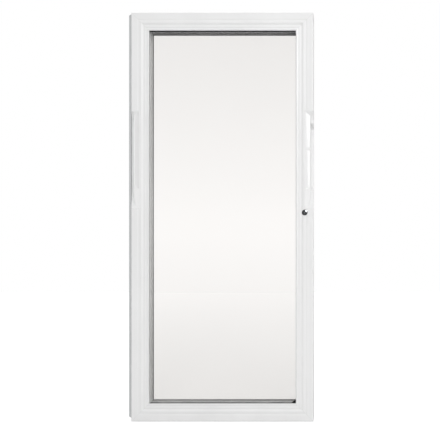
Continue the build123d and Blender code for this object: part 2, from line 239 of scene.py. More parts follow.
@dataclass(frozen=True)
class ExtrudedVinyl(Finish):
    """Rigid white vinyl drawn through a die, cut to a mitre and welded at the corners."""

    grain: Grain = Grain.UPRIGHT
    faded: str = "#E7E7E7"
    seam: str = "#D3D4D4"
    # Die lines are about 0.3 mm apart, drawn at 1.4 mm so that they show in the render
    die_line: float = 1.4
    drawn_length: float = 420.0
    line_height: float = 0.012
    # Heights of the die lines between which the roughness changes, and its change
    line_span: Span = (0.35, 0.65)
    line_gloss: Span = (-0.03, 0.05)
    cloud_size: float = 140.0
    # The welded corner leaves a line about 0.6 mm wide, twice as deep as a die line is high
    seam_width: float = 0.6
    seam_depth: float = 2.0

    def work(self, tree: Tree, shader: Node, output: Node) -> None:
        """Draws the die lines, the faint clouding and the welded mitre lines.

        Args:
            tree: Node tree of the material.
            shader: The material's shader.
            output: The material's output.
        """
        step = (self.drawn_length, self.die_line, self.die_line)
        lines_at = self.place(tree, step if self.grain is Grain.LEVEL else step[::-1])
        lines = add_node(tree, "TexNoise", {**STREAKS, "Vector": lines_at}).outputs["Fac"]
        clouds_at = self.place(tree, (self.cloud_size, self.cloud_size, 2 * self.cloud_size))
        cloud = add_node(tree, "TexNoise", {**CLOUDS, "Vector": clouds_at}).outputs["Fac"]
        white = {MIX_SHARE: cloud, MIX_LOW: linear(self.colour), MIX_HIGH: linear(self.faded)}
        clouded = add_node(tree, "Mix", white, data_type="RGBA").outputs[MIX_RESULT]
        weld = self.weld_line(tree)
        seamed = {MIX_SHARE: weld, MIX_LOW: clouded, MIX_HIGH: linear(self.seam)}
        colour = add_node(tree, "Mix", seamed, data_type="RGBA").outputs[MIX_RESULT]
        gloss = (self.roughness + change for change in self.line_gloss)
        rough = add_node(tree, "MapRange", (lines, *self.line_span, *gloss))
        tree.links.new(rough.outputs[0], shader.inputs["Roughness"])
        height = add_node(tree, "Math", (weld, -self.seam_depth, lines), operation="MULTIPLY_ADD")
        self.cover(tree, shader, colour, height.outputs[0], self.line_height)

    def weld_line(self, tree: Tree) -> Socket:
        """Marks the four diagonals of the leaf, where its lengths meet.

        Args:
            tree: Node tree of the material.

        Returns:
            A socket that is 1 on a diagonal and 0 away from it.
        """
        split = add_node(tree, "SeparateXYZ", (self.place(tree),))
        halves = (LEAF.width_at(0) / 2, LEAF.height_at(0) / 2)
        reach = []
        for axis, middle, half in zip("XZ", LEAF.middle, halves):
            centred = add_node(tree, "Math", (split.outputs[axis], middle), operation="SUBTRACT")
            far = add_node(tree, "Math", (centred.outputs[0],), operation="ABSOLUTE")
            inside = add_node(tree, "Math", (far.outputs[0], half), operation="SUBTRACT")
            reach.append(inside.outputs[0])
        apart = add_node(tree, "Math", tuple(reach), operation="SUBTRACT")
        off = add_node(tree, "Math", (apart.outputs[0],), operation="ABSOLUTE")
        fade = (off.outputs[0], 0.0, self.seam_width, 1.0, 0.0)
        return add_node(tree, "MapRange", fade, interpolation_type="SMOOTHSTEP").outputs[0]


@dataclass(frozen=True)
class MouldedPlastic(Finish):
    """Injection-moulded ABS: glossy, with the slight waves of a cooled thick wall."""

    wave: float = 34.0
    wave_height: float = 0.05
    shade: str = "#EAEAEA"
    coat: float = 0.4

    def work(self, tree: Tree, shader: Node, output: Node) -> None:
        """Adds the sink waves, their faint tone and the moulded gloss.

        Args:
            tree: Node tree of the material.
            shader: The material's shader.
            output: The material's output.
        """
        shader.inputs["Coat Weight"].default_value = self.coat
        waves_at = self.place(tree, (self.wave, self.wave, 2 * self.wave))
        waves = add_node(tree, "TexNoise", {**WAVES, "Vector": waves_at}).outputs["Fac"]
        tones = {MIX_SHARE: waves, MIX_LOW: linear(self.colour), MIX_HIGH: linear(self.shade)}
        colour = add_node(tree, "Mix", tones, data_type="RGBA").outputs[MIX_RESULT]
        self.cover(tree, shader, colour, waves, self.wave_height)


@dataclass(frozen=True)
class FloatGlass(Finish):
    """Clear float glass, 4 mm thick, with the faint tint of an insulating coating."""

    tint: str = "#FDFCFB"
    cloud_size: float = 300.0
    refraction: float = 1.52

    def work(self, tree: Tree, shader: Node, output: Node) -> None:
        """Makes the shader clear and lets lamps through it.

        Args:
            tree: Node tree of the material.
            shader: The material's shader.
            output: The material's output.
        """
        shader.inputs["Transmission Weight"].default_value = 1.0
        shader.inputs["IOR"].default_value = self.refraction
        coating_at = self.place(tree, (self.cloud_size,) * 3)
        coating = add_node(tree, "TexNoise", {**WAVES, "Vector": coating_at}).outputs["Fac"]
        tones = {MIX_SHARE: coating, MIX_LOW: linear(self.colour), MIX_HIGH: linear(self.tint)}
        colour = add_node(tree, "Mix", tones, data_type="RGBA").outputs[MIX_RESULT]
        tree.links.new(colour, shader.inputs["Base Color"])
        shadow = add_node(tree, "LightPath").outputs["Is Shadow Ray"]
        clear = add_node(tree, "BsdfTransparent", {"Color": linear(self.tint)})
        pane = add_node(tree, "MixShader", (shadow, shader.outputs[0], clear.outputs[0]))
        tree.links.new(pane.outputs[0], output.inputs["Surface"])


@dataclass(frozen=True)
class SpacerAluminium(Finish):
    """Roll-formed aluminium spacer bar, satin, with two rows of pin holes on its sight face."""

    grain: Grain = Grain.UPRIGHT
    # The bar's thin lacquer hides a part of the metal
    bare_metal: float = 0.4
    # Dark grey of the pin holes: painted shade inside holes that are only a shallow bump
    hole_shade: str = "#5D6062"
    pitch: float = 3.2
    hole_width: float = 0.7
    hole_depth: float = 0.03
    row_from_middle: float = 2.6
    bar_middle: float = -6.4
    roll_mark: float = 0.8
    roll_length: float = 48.0
    # Depth of a roll mark as a share of a hole's
    mark_share: float = 0.3

    def work(self, tree: Tree, shader: Node, output: Node) -> None:
        """Adds the rows of pin holes and the roll marks.

        Args:
            tree: Node tree of the material.
            shader: The material's shader.
            output: The material's output.
        """
        shader.inputs["Metallic"].default_value = self.bare_metal
        split = add_node(tree, "SeparateXYZ", (self.place(tree),))
        along, back = split.outputs[self.grain.value], split.outputs["Y"]
        step = add_node(tree, "Math", (along, self.pitch / 2), operation="PINGPONG")
        deep = add_node(tree, "Math", (back, self.bar_middle), operation="SUBTRACT")
        side = add_node(tree, "Math", (deep.outputs[0],), operation="ABSOLUTE")
        row = add_node(tree, "Math", (side.outputs[0], self.row_from_middle), operation="SUBTRACT")
        squares = tuple(
            add_node(tree, "Math", (off.outputs[0],) * 2, operation="MULTIPLY").outputs[0]
            for off in (step, row)
        )
        total = add_node(tree, "Math", squares, operation="ADD")
        edge = (total.outputs[0], 0.0, self.hole_width**2, 1.0, 0.0)
        holes = add_node(tree, "MapRange", edge, interpolation_type="SMOOTHSTEP").outputs[0]
        marks_at = self.place(tree, (self.roll_mark, self.roll_mark, self.roll_length))
        marks = add_node(tree, "TexNoise", {**STREAKS, "Vector": marks_at}).outputs["Fac"]
        tones = {MIX_SHARE: holes, MIX_LOW: linear(self.colour), MIX_HIGH: linear(self.hole_shade)}
        colour = add_node(tree, "Mix", tones, data_type="RGBA").outputs[MIX_RESULT]
        sunk = add_node(tree, "Math", (marks, self.mark_share, holes), operation="MULTIPLY_ADD")
        self.cover(tree, shader, colour, sunk.outputs[0], -self.hole_depth)


@dataclass(frozen=True)
class SoftVinyl(Finish):
    """Plasticised vinyl or rubber section: matt, with fine draw lines and a faint bloom."""

    grain: Grain = Grain.UPRIGHT
    bloom: str = "#A4A5A6"
    # The skin's grit is about 0.2 mm, drawn at 0.9 mm so that it shows in a close view
    grit: float = 0.9
    drawn_length: float = 60.0
    grit_height: float = 0.03
    bloom_size: float = 55.0

    def work(self, tree: Tree, shader: Node, output: Node) -> None:
        """Adds the tone, the grit and the draw lines.

        Args:
            tree: Node tree of the material.
            shader: The material's shader.
            output: The material's output.
        """
        step = (self.drawn_length, self.grit, self.grit)
        lines_at = self.place(tree, step if self.grain is Grain.LEVEL else step[::-1])
        lines = add_node(tree, "TexNoise", {**STREAKS, "Vector": lines_at}).outputs["Fac"]
        self.cover(tree, shader, self.tone(tree), lines, self.grit_height)

    def tone(self, tree: Tree) -> Socket:
        """Clouds the vinyl's colour with its bloom.

        Args:
            tree: Node tree of the material.

        Returns:
            The socket with the colour.
        """
        patches_at = self.place(tree, (self.bloom_size,) * 3)
        patches = add_node(tree, "TexNoise", {**MOTTLING, "Vector": patches_at}).outputs["Fac"]
        tones = {MIX_SHARE: patches, MIX_LOW: linear(self.colour), MIX_HIGH: linear(self.bloom)}
        return add_node(tree, "Mix", tones, data_type="RGBA").outputs[MIX_RESULT]


@dataclass(frozen=True)
class FootedVinyl(SoftVinyl):
    """Grey rigid vinyl whose front foot, which presses on the pane, is a paler grip lip."""

    foot: str = "#E2E4E5"
    foot_end: float = 9.5
    foot_fade: float = 0.4

    def tone(self, tree: Tree) -> Socket:
        """Puts the paler foot in front of the vinyl's own tone.

        Args:
            tree: Node tree of the material.

        Returns:
            The socket with the colour.
        """
        back = add_node(tree, "SeparateXYZ", (self.place(tree),)).outputs["Y"]
        fade = (back, self.foot_end - self.foot_fade, self.foot_end, 0.0, 1.0)
        behind = add_node(tree, "MapRange", fade).outputs[0]
        tones = {MIX_SHARE: behind, MIX_LOW: linear(self.foot), MIX_HIGH: super().tone(tree)}
        return add_node(tree, "Mix", tones, data_type="RGBA").outputs[MIX_RESULT]


@dataclass(frozen=True)
class PlatedMetal(Finish):
    """Steel or die-cast zinc under a plated coat: mirror bright or satin, with fine marks."""

    dulled: str = "#A9ACAF"
    mark: Point = (6.0, 6.0, 6.0)
    mark_height: float = 0.004
    # Heights of the marks between which the roughness changes, and its shares there
    mark_span: Span = (0.3, 0.7)
    mark_gloss: Span = (0.8, 1.3)

    def work(self, tree: Tree, shader: Node, output: Node) -> None:
        """Adds the plating's tone, its polishing marks and its changing gloss.

        Args:
            tree: Node tree of the material.
            shader: The material's shader.
            output: The material's output.
        """
        shader.inputs["Metallic"].default_value = 1.0
        marks_at = self.place(tree, self.mark)
        marks = add_node(tree, "TexNoise", {**MOTTLING, "Vector": marks_at}).outputs["Fac"]
        tones = {MIX_SHARE: marks, MIX_LOW: linear(self.colour), MIX_HIGH: linear(self.dulled)}
        colour = add_node(tree, "Mix", tones, data_type="RGBA").outputs[MIX_RESULT]
        gloss = (share * self.roughness for share in self.mark_gloss)
        rough = add_node(tree, "MapRange", (marks, *self.mark_span, *gloss))
        tree.links.new(rough.outputs[0], shader.inputs["Roughness"])
        self.cover(tree, shader, colour, marks, self.mark_height)


# Satin white window vinyl: bright, with a soft wide sheen
STILE_VINYL = ExtrudedVinyl("white_vinyl_stile", "#F2F2F2", 0.34, Grain.UPRIGHT)
RAIL_VINYL = ExtrudedVinyl("white_vinyl_rail", "#F2F2F2", 0.34, Grain.LEVEL)
# Gloss white ABS moulding: a sharper highlight than the frame's
PULL_ABS = MouldedPlastic("white_abs_pull", "#F4F4F4", 0.16)
# Clear float glass: almost no colour of its own
PANE_GLASS = FloatGlass("clear_float_glass", "#FEFDFC", 0.0)
# Satin mill aluminium: a pale grey line inside the glass. The upright bars are coloured paler than
# the level ones; the difference is painted light and shade on the reveals
SPACER_UPRIGHT = SpacerAluminium("satin_spacer_upright", "#F4F5F6", 0.42, Grain.UPRIGHT)
SPACER_LEVEL = SpacerAluminium("satin_spacer_level", "#E4E5E6", 0.42, Grain.LEVEL)
# The bar at the foot faces up into the lamps; it is coloured darker than the others as painted
# shade
SPACER_FOOT = SpacerAluminium("painted_shade_spacer_foot", "#B6B8BA", 0.5, Grain.LEVEL)
# Black EPDM rubber: a dead black line, slightly greyed
GASKET_RUBBER = SoftVinyl("black_epdm", "#0C0C0C", 0.7, bloom="#141414")
# Pale grey sealant: a dull soft bead, a little darker than the spacer beside it
SEALANT = SoftVinyl("grey_butyl_sealant", "#C2C4C5", 0.6, bloom="#CACCCD")
# Grey rigid vinyl of the snap-in retainers, darker than their foot. The upright ones get a darker
# body and a deeper pale foot than the level ones: painted shade and painted light on the side
# reveals
RETAINER_UPRIGHT = FootedVinyl(
    "grey_retainer_upright", "#4C4E4F", 0.48, Grain.UPRIGHT, bloom="#545657", foot_end=13.0
)
RETAINER_LEVEL = FootedVinyl(
    "grey_retainer_level", "#7A7C7D", 0.48, Grain.LEVEL, bloom="#828485", foot="#C4C6C7"
)
# The retainer at the foot gets a darker foot than the top one: painted shade
RETAINER_FOOT = FootedVinyl(
    "grey_retainer_foot_painted_shade", "#7A7C7D", 0.48, Grain.LEVEL, bloom="#828485", foot="#A6A8A9"
)
# Grey soft vinyl of the magnetic seal
SEAL_VINYL = SoftVinyl("grey_soft_seal", "#8F9192", 0.55, bloom="#9B9D9E")
# Grey strip along the hinge edge
STRIP_VINYL = SoftVinyl("grey_edge_strip", "#BBBDBE", 0.5, Grain.UPRIGHT, bloom="#C3C5C6")
# Bright chrome over die-cast zinc
CHROME = PlatedMetal("bright_chrome", "#E3E5E7", 0.07, dulled="#D5D8DB")
# Dark plating on the plug, darker than the barrel round it: its dark tone is a painted reflection
# of dark surroundings
PLUG_PAINTED_REFLECTION = PlatedMetal("dark_plug_painted_reflection", "#626466", 0.14, dulled="#56585A")
# Zinc-plated steel: paler and duller than chrome, with a faint spangle
ZINC = PlatedMetal("zinc_plated_steel", "#C3C6C8", 0.3, dulled="#A9ACAE", mark=(9.0, 9.0, 9.0))
# Stainless sheet with brush marks along the plate
STAINLESS = PlatedMetal(
    "brushed_stainless", "#C6C7C6", 0.28, dulled="#B2B3B3", mark=(45.0, 0.9, 0.9)
)


def dress(finish: Finish, *nodes: str) -> None:
    """Gives CAD nodes a finish.

    Args:
        finish: The finish.
        *nodes: Names of the nodes.
    """
    for node in nodes:
        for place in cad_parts[node].material_slots:
            place.material = material_of(finish)


def deselect_all() -> None:
    """Leaves nothing selected, so that an operator acts on one piece only."""
    bpy.ops.object.select_all(action="DESELECT")


def choose(piece: bpy.types.Object) -> None:
    """Selects one piece and makes it active, so that an operator acts on it only.

    Args:
        piece: The piece.
    """
    deselect_all()
    piece.select_set(True)
    bpy.context.view_layer.objects.active = piece


@contextmanager
def editing(piece: bpy.types.Object) -> Iterator[bmesh.types.BMesh]:
    """Opens a piece in edit mode and closes it again.

    Args:
        piece: The piece.

    Yields:
        Its mesh, for choosing faces and edges by their place.
    """
    choose(piece)
    bpy.ops.object.mode_set(mode="EDIT")
    yield bmesh.from_edit_mesh(piece.data)
    bpy.ops.object.mode_set(mode="OBJECT")


def pick_faces(shape: bmesh.types.BMesh, wanted: Callable[[bmesh.types.BMFace], bool]) -> None:
    """Selects just the faces that are wanted.

    Args:
        shape: Mesh that is open in edit mode.
        wanted: Says whether a face is chosen.
    """
    bpy.ops.mesh.select_mode(type="FACE")
    bpy.ops.mesh.select_all(action="DESELECT")
    for face in shape.faces:
        face.select_set(wanted(face))


def apply_modifier(piece: bpy.types.Object, kind: str, **settings: object) -> None:
    """Adds a modifier and applies it.

    Args:
        piece: The piece.
        kind: Blender's name of the modifier's type.
        **settings: Its settings.
    """
    modifier = piece.modifiers.new(kind.lower(), kind)
    for name, value in settings.items():
        setattr(modifier, name, value)
    choose(piece)
    bpy.ops.object.modifier_apply(modifier=modifier.name)


def cut_away(piece: bpy.types.Object, *tools: bpy.types.Object) -> None:
    """Cuts tools out of a piece and deletes them.

    Args:
        piece: The piece.
        *tools: Closed shapes that mark what is cut away.
    """
    for tool in tools:
        apply_modifier(piece, "BOOLEAN", operation="DIFFERENCE", object=tool, solver="EXACT")
        bpy.data.objects.remove(tool)


def settle(
    piece: bpy.types.Object, name: str, finish: Finish, part: Part = Part.LEAF
) -> bpy.types.Object:
    """Finishes a piece: its place goes into its mesh, and it gets its name, finish and body.

    Args:
        piece: The piece, where it belongs.
        name: Its name.
        finish: Its finish.
        part: Body that it rides on.

    Returns:
        The piece.
    """
    choose(piece)
    bpy.ops.object.transform_apply(location=True, rotation=True, scale=True)
    bpy.ops.object.shade_smooth_by_angle(angle=SMOOTH_ANGLE)
    piece.name = piece.data.name = name
    piece.data.materials.clear()
    piece.data.materials.append(material_of(finish))
    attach(piece, part.value)
    log.info("%s: %d faces", name, len(piece.data.polygons))
    return piece


def draw_back(loop: bpy.types.Object, outline: Ring, span: Callable[[float], Span]) -> None:
    """Draws a level edge loop through the points of a closed section and joins its ends.

    Args:
        loop: The loop, at the section's first point.
        outline: Points of the section. The second number runs back.
        span: Gives the loop's width and height from a point's first number.
    """
    centre = loop.location.copy()
    with editing(loop):
        bpy.ops.mesh.select_mode(type="EDGE")
        bpy.ops.mesh.select_all(action="SELECT")
        for (reach, back), (next_reach, next_back) in pairwise(outline):
            step = (0, mm(next_back - back), 0)
            bpy.ops.mesh.extrude_edges_move(TRANSFORM_OT_translate={"value": step})
            wider, taller = (new / old for new, old in zip(span(next_reach), span(reach)))
            bpy.ops.transform.resize(value=(wider, 1, taller), center_override=centre)
        bpy.ops.mesh.select_all(action="DESELECT")
        bpy.ops.mesh.select_non_manifold(extend=False)
        bpy.ops.mesh.bridge_edge_loops()
        bpy.ops.mesh.select_all(action="SELECT")
        bpy.ops.mesh.normals_make_consistent(inside=False)


def ring_of(outline: Ring, depth: float) -> bpy.types.Object:
    """Draws a closed section round the leaf, with a mitre at each corner.

    Args:
        outline: Points of the section. The first number runs in from the outer edge
            and the second runs back.
        depth: Depth from which the second number is counted.

    Returns:
        The ring.
    """
    across, up = LEAF.middle
    first_inset, first_back = outline[0]
    start = mm(across, depth + first_back, up)
    bpy.ops.mesh.primitive_plane_add(size=1, location=start, rotation=UPRIGHT)
    ring = bpy.context.object
    with editing(ring):
        size = mm(LEAF.width_at(first_inset), METRE, LEAF.height_at(first_inset))
        bpy.ops.transform.resize(value=size, center_override=start)
        bpy.ops.mesh.select_mode(type="EDGE")
        bpy.ops.mesh.select_all(action="SELECT")
        bpy.ops.mesh.delete(type="ONLY_FACE")
    draw_back(ring, outline, lambda inset: (LEAF.width_at(inset), LEAF.height_at(inset)))
    return ring


def turned(outline: Ring, place: Point, sides: int = 64) -> bpy.types.Object:
    """Turns a closed section round an axis that runs back through a point.

    Args:
        outline: Points of the section. The first number is the radius and the second runs back.
        place: Point from which the second number is counted.
        sides: Number of flats round the axis.

    Returns:
        The turned piece.
    """
    first_radius, first_back = outline[0]
    across, depth, up = place
    start = mm(across, depth + first_back, up)
    bpy.ops.mesh.primitive_circle_add(
        vertices=sides, radius=mm(first_radius), location=start, rotation=UPRIGHT
    )
    piece = bpy.context.object
    draw_back(piece, outline, lambda radius: (radius, radius))
    return piece


@dataclass(frozen=True)
class CrossScrew:
    """A screw with a cross recess, modelled upright with the top of its head at the origin."""

    head: ScrewHead
    head_diameter: float
    head_height: float
    shank_diameter: float
    length: float
    rim: float = 0.35
    slot_width: float = 1.0
    slot_share: float = 0.62
    # Depth of the recess as a share of the head's height, and its width at the bottom
    slot_depth: float = 1.1
    slot_taper: Span = (0.6, 0.8)
    tip_taper: float = 0.3
    sides: int = 36

    def model(self) -> bpy.types.Object:
        """Turns the head and shank and cuts the recess.

        Returns:
            The screw.
        """
        radius = mm(self.head_diameter / 2)
        straight = self.rim if self.head is ScrewHead.COUNTERSUNK else self.head_height
        middle = (0, 0, -mm(straight) / 2)
        bpy.ops.mesh.primitive_cylinder_add(
            vertices=self.sides, radius=radius, depth=mm(straight), location=middle
        )
        screw = bpy.context.object
        bpy.ops.object.transform_apply(location=True)
        neck = self.shank_diameter / self.head_diameter
        with editing(screw) as shape:
            pick_faces(shape, lambda face: face.normal.z < -FACING)
            if self.head is ScrewHead.COUNTERSUNK:
                self.draw_out(self.head_height - self.rim, neck)
                self.draw_out(self.length - self.head_height, 1.0)
                self.draw_out(self.shank_diameter / 2, self.tip_taper)
            else:
                bpy.ops.mesh.bevel(offset=mm(self.rim), segments=2)
            pick_faces(shape, lambda face: face.normal.z > FACING)
            bpy.ops.mesh.bevel(offset=mm(self.rim / 2), segments=2)
        arm = (self.head_diameter * self.slot_share, self.slot_width)
        cut_away(screw, self.recess(arm), self.recess(arm[::-1]))
        return screw

    def draw_out(self, length: float, taper: float) -> None:
        """Extrudes the chosen end downwards and narrows it.

        Args:
            length: How far it is drawn out.
            taper: Its new width as a share of the old one.
        """
        bpy.ops.mesh.extrude_region_move(TRANSFORM_OT_translate={"value": (0, 0, -mm(length))})
        bpy.ops.transform.resize(value=(taper, taper, 1), center_override=(0, 0, 0))

    def recess(self, across: Span) -> bpy.types.Object:
        """Makes one arm of the cross recess as a tapered tool.

        Args:
            across: Its sizes along X and Y.

        Returns:
            The tool.
        """
        deep = self.head_height * self.slot_depth
        bpy.ops.mesh.primitive_cube_add(size=1)
        tool = bpy.context.object
        with editing(tool) as shape:
            bpy.ops.transform.resize(value=mm(*across, 2 * deep), center_override=(0, 0, 0))
            pick_faces(shape, lambda face: face.normal.z < -FACING)
            bpy.ops.transform.resize(value=(*self.slot_taper, 1), center_override=(0, 0, 0))
        return tool


@dataclass
class WhiteFrame:
    """The four welded lengths of the frame."""

    stiles: tuple[str, ...] = ("frame_left_stile", "frame_right_stile")
    rails: tuple[str, ...] = ("frame_top_rail", "frame_bottom_rail")

    def build(self) -> None:
        """Dresses the lengths, each with its die lines along it."""
        dress(STILE_VINYL, *self.stiles)
        dress(RAIL_VINYL, *self.rails)


@dataclass
class FingerPulls:
    """The moulded finger pulls in both stiles."""

    nodes: tuple[str, ...] = ("left_pull", "right_pull")

    def build(self) -> None:
        """Dresses the mouldings."""
        dress(PULL_ABS, *self.nodes)


@dataclass
class GlazedUnit:
    """Two panes on a spacer frame, with black seals at the lip."""

    panes: tuple[str, ...] = ("outer_pane", "inner_pane")
    sight_edge: float = 58.0
    spacer_from: float = 12.1
    spacer_thick: float = 14.0
    bead: float = 1.2
    # Where the bead's face bulges, as shares of its size
    bead_bulge: Span = (0.65, 0.45)
    fin_show: float = 2.2
    fin_thick: float = 1.9
    fin_round: float = 0.3
    pane_from: float = 8.1

    def build(self) -> None:
        """Dresses the panes, spacers and gaskets and adds the sealant beads and the fin."""
        dress(PANE_GLASS, *self.panes)
        dress(SPACER_UPRIGHT, "spacer_left", "spacer_right")
        dress(SPACER_LEVEL, "spacer_top")
        dress(SPACER_FOOT, "spacer_bottom")
        gaskets = [f"glazing_gasket_{side}" for side in ("left", "right", "top", "bottom")]
        dress(GASKET_RUBBER, *gaskets, "corner_wedge")
        dress(GASKET_RUBBER, "setting_block_left", "setting_block_right")
        self.lay_bead("sealant_bead_front", 1.0, LEAF.front + self.spacer_from)
        self.lay_bead("sealant_bead_rear", -1.0, LEAF.front + self.spacer_from + self.spacer_thick)
        self.lay_fin()

    def lay_fin(self) -> None:
        """Models the gasket's soft fin, which shows past the lip at the foot of the glass."""
        across, _ = LEAF.middle
        lip = LEAF.rail_face
        narrow, wide = (LEAF.width_at(lip + run) for run in (self.fin_show, -self.fin_show))
        place = mm(across, LEAF.front + self.pane_from - self.fin_thick / 2, LEAF.bottom + lip)
        bpy.ops.mesh.primitive_cube_add(size=1, location=place)
        fin = bpy.context.object
        with editing(fin) as shape:
            size = mm(narrow, self.fin_thick, 2 * self.fin_show)
            bpy.ops.transform.resize(value=size, center_override=place)
            pick_faces(shape, lambda face: face.normal.z < -FACING)
            bpy.ops.transform.resize(value=(wide / narrow, 1, 1), center_override=place)
        apply_modifier(fin, "BEVEL", width=mm(self.fin_round), segments=2)
        settle(fin, "gasket_fin_foot", GASKET_RUBBER)

    def lay_bead(self, name: str, back: float, depth: float) -> None:
        """Lays a bead of sealant in the corner between a pane and the spacer.

        Args:
            name: Name of the bead.
            back: 1 where the bead runs back from the pane and -1 where it runs forward.
            depth: Depth of the pane's face.
        """
        edge, size = self.sight_edge, self.bead
        bulge_in, bulge_back = (share * size for share in self.bead_bulge)
        outline = (
            (edge, 0.0),
            (edge + size, 0.0),
            (edge + bulge_in, back * bulge_back),
            (edge, back * size),
        )
        settle(ring_of(outline, depth), name, SEALANT)


@dataclass
class RearSeal:
    """Grey retainers and the soft magnetic seal, with its flange, bellows and magnet pocket."""

    sides: tuple[str, ...] = ("left", "right", "top", "bottom")
    outline: Ring = (
        (45.5, 0.0),
        (45.5, 0.8),
        (46.2, 1.4),
        (47.9, 1.6),
        (48.4, 2.2),
        (47.3, 3.0),
        (46.8, 3.9),
        (47.3, 4.8),
        (48.2, 5.5),
        (47.6, 6.1),
        (46.7, 6.5),
        (46.5, 7.2),
        (46.5, 10.1),
        (46.8, 10.7),
        (47.5, 11.0),
        (54.5, 11.0),
        (55.2, 10.7),
        (55.5, 10.1),
        (55.5, 7.2),
        (55.3, 6.5),
        (54.4, 6.1),
        (53.8, 5.5),
        (54.7, 4.8),
        (55.2, 3.9),
        (54.7, 3.0),
        (53.6, 2.2),
        (54.1, 1.6),
        (55.8, 1.4),
        (56.5, 0.8),
        (56.5, 0.0),
    )

    def build(self) -> None:
        """Dresses the retainers and models the seal in place of its plain solids."""
        dress(RETAINER_UPRIGHT, "retainer_left", "retainer_right")
        dress(RETAINER_LEVEL, "retainer_top")
        dress(RETAINER_FOOT, "retainer_bottom")
        seal = ring_of(self.outline, LEAF.back)
        settle(seal, "magnetic_seal", SEAL_VINYL)
        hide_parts(*(f"magnetic_gasket_{side}" for side in self.sides))


@dataclass
class CamLock:
    """The cam lock of the latch stile, from its chromed face to the cam at the back."""

    across: float = 537.0
    height: float = 693.0
    face: float = -28.1
    # Radius and depth of the barrel's section: the coned face, the rim, the body and its bore
    barrel: Ring = (
        (5.55, 0.2),
        (5.8, 0.0),
        (9.0, 1.15),
        (9.4, 1.45),
        (9.5, 1.8),
        (9.5, 2.6),
        (8.0, 2.6),
        (8.0, 58.3),
        (7.6, 58.8),
        (5.55, 58.8),
    )
    nut_across: float = 21.0
    nut_thick: float = 4.0
    nut_bore: float = 16.1
    nut_round: float = 0.7
    bore_sides: int = 48
    cam_back: float = 34.0
    screw: CrossScrew = CrossScrew(ScrewHead.PAN, 10.5, 2.2, 6.0, 2.2, slot_width=1.4)
    wafer: Point = (1.3, 0.6, 5.2)
    wafer_round: float = 0.2
    wafer_depths: tuple[float, ...] = (2.4, 3.6, 4.8, 6.0)
    # With no key in it, the wafers stand up and down by turns
    wafer_lifts: Span = (0.5, -0.4)

    def build(self) -> None:
        """Dresses the plug and cam and models the barrel, nut, screw and wafers."""
        dress(PLUG_PAINTED_REFLECTION, "lock_plug")
        dress(ZINC, "lock_cam")
        barrel = turned(self.barrel, (self.across, self.face, self.height))
        settle(barrel, "coned_lock_barrel", CHROME)
        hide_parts("lock_barrel")
        self.model_nut()
        self.model_screw()
        self.model_wafers()

    def model_nut(self) -> None:
        """Models the hexagon nut with its bore and broken edges."""
        radius = mm(self.nut_across / 2) / math.cos(math.pi / 6)
        place = mm(self.across, LEAF.back + self.nut_thick / 2, self.height)
        stand = {"location": place, "rotation": UPRIGHT}
        thick = mm(self.nut_thick)
        bpy.ops.mesh.primitive_cylinder_add(vertices=6, radius=radius, depth=thick, **stand)
        nut = bpy.context.object
        apply_modifier(nut, "BEVEL", width=mm(self.nut_round), segments=2)
        bore = {"vertices": self.bore_sides, "radius": mm(self.nut_bore / 2)}
        bpy.ops.mesh.primitive_cylinder_add(**bore, depth=3 * thick, **stand)
        cut_away(nut, bpy.context.object)
        settle(nut, "hexagon_nut", ZINC)
        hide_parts("lock_nut")

    def model_screw(self) -> None:
        """Models the pan-head screw that holds the cam."""
        screw = self.screw.model()
        screw.rotation_euler = (-math.pi / 2, 0, 0)
        screw.location = mm(self.across, self.cam_back + self.screw.head_height, self.height)
        settle(screw, "cam_retaining_screw", ZINC, Part.LOCK)
        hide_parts("cam_screw")

    def model_wafers(self) -> None:
        """Models the wafers that show inside the keyway."""
        rows = zip(self.wafer_depths, cycle(self.wafer_lifts))
        for number, (depth, lift) in enumerate(rows, start=1):
            place = mm(self.across, self.face + depth, self.height + lift)
            bpy.ops.mesh.primitive_cube_add(size=1, location=place)
            wafer = bpy.context.object
            with editing(wafer):
                bpy.ops.transform.resize(value=mm(*self.wafer), center_override=place)
            apply_modifier(wafer, "BEVEL", width=mm(self.wafer_round), segments=2)
            settle(wafer, f"lock_wafer_{number}", ZINC, Part.LOCK)


@dataclass
class PivotPlates:
    """The pivot plates at the foot and head of the hinge stile, and their screws."""

    screws_across: tuple[float, ...] = (7.0, 25.0)
    foot: float = 0.0
    head: float = 1356.0
    sunk: float = 0.05
    screw: CrossScrew = CrossScrew(ScrewHead.COUNTERSUNK, 8.8, 2.3, 3.2, 4.6)

    def build(self) -> None:
        """Dresses the plates and models one screw, copied to each hole."""
        dress(STAINLESS, "pivot_plate_bottom", "pivot_plate_top")
        pattern = self.screw.model()
        ends = (("foot", self.foot + self.sunk, math.pi), ("head", self.head - self.sunk, 0.0))
        for end, level, turn in ends:
            for number, across in enumerate(self.screws_across, start=1):
                choose(pattern)
                bpy.ops.object.duplicate(linked=False)
                screw = bpy.context.object
                screw.rotation_euler = (turn, 0, 0)
                screw.location = mm(across, 0, level)
                settle(screw, f"plate_screw_{end}_{number}", ZINC)
        bpy.data.objects.remove(pattern)


@dataclass
class EdgeStrip:
    """The grey strip along the outer edge of the hinge stile."""

    node: str = "hinge_edge_strip"

    def build(self) -> None:
        """Dresses the strip."""
        dress(STRIP_VINYL, self.node)


WHITE = linear("#FFFFFF")
# Points that the lamps are turned to, in metres
LEAF_MIDDLE = (0.26, 0.0, 0.68)
LOCK_FACE = (0.537, 0.0, 0.69)


